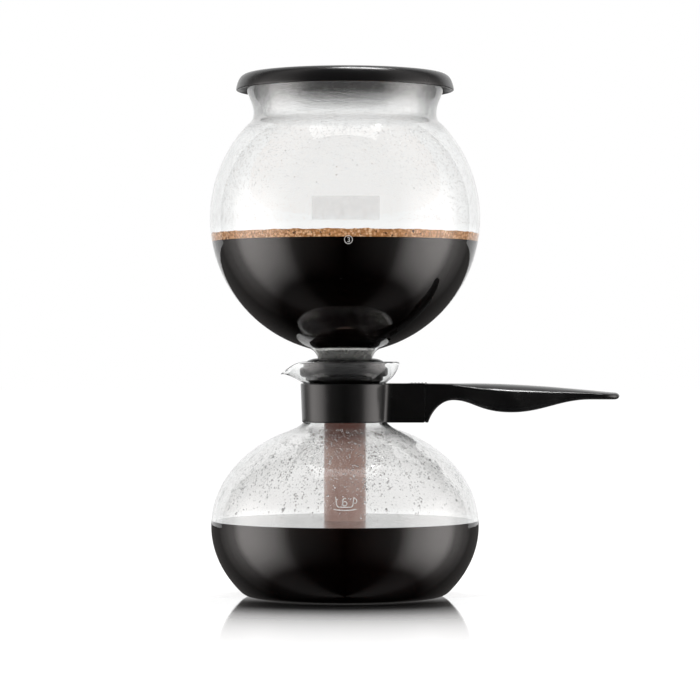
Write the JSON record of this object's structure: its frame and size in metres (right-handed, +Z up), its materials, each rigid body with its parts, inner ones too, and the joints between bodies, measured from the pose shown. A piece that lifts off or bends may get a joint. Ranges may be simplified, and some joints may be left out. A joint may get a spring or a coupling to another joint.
{
  "type": "siphon coffee maker",
  "caption": "Glass vacuum coffee maker: round carafe with clamped handle and spout, stemmed glass globe with filter, and lid.",
  "frame": {"origin": "middle of the carafe's flat base, on the floor", "axes": "+Z up along the axis of both glass vessels, +X towards the handle's tip, -X towards the spout"},
  "size_m": [0.2456, 0.162, 0.3126],
  "materials": {
    "glass": "polished",
    "black_plastic": "satin",
    "lock_plastic": "matte",
    "lid_plastic": "satin",
    "black_rubber": "matte",
    "steel": "satin",
    "steel_mesh": "satin",
    "spring_steel": "satin",
    "chrome": "polished",
    "coffee": "gloss",
    "foam": "matte"
  },
  "bodies": {
    "carafe": {"carafe": "glass", "neck_collar": "black_plastic", "handle_grip": "black_plastic", "lower_coffee": "coffee"},
    "lock": {"lock_slide": "lock_plastic"},
    "funnel": {"globe": "glass", "gasket": "black_rubber", "filter_cone": "steel", "filter_mesh": "steel_mesh", "filter_knob": "steel", "filter_post": "steel", "filter_spring": "spring_steel", "upper_coffee": "coffee", "coffee_foam": "foam", "stem_coffee": "coffee"},
    "hook": {"chain_coupler": "chrome", "ball_chain": "chrome", "chain_hook": "spring_steel"},
    "lid": {"lid": "lid_plastic"}
  },
  "joints": [
    {"name": "funnel_lift", "type": "slide", "parent": "carafe", "child": "funnel", "axis": [0, 0, 1], "range_m": [0, 0.14]},
    {"name": "lid_lift", "type": "slide", "parent": "funnel", "child": "lid", "axis": [0, 0, 1], "range_m": [0, 0.08]},
    {"name": "hook_pull", "type": "slide", "parent": "funnel", "child": "hook", "axis": [0, 0, -1], "range_m": [0, 0.005], "stiffness_N_per_m": 80, "deforming": ["filter_spring"]},
    {"name": "lock_draw", "type": "slide", "parent": "carafe", "child": "lock", "axis": [1, 0, 0], "range_m": [0, 0.0105]}
  ]
}
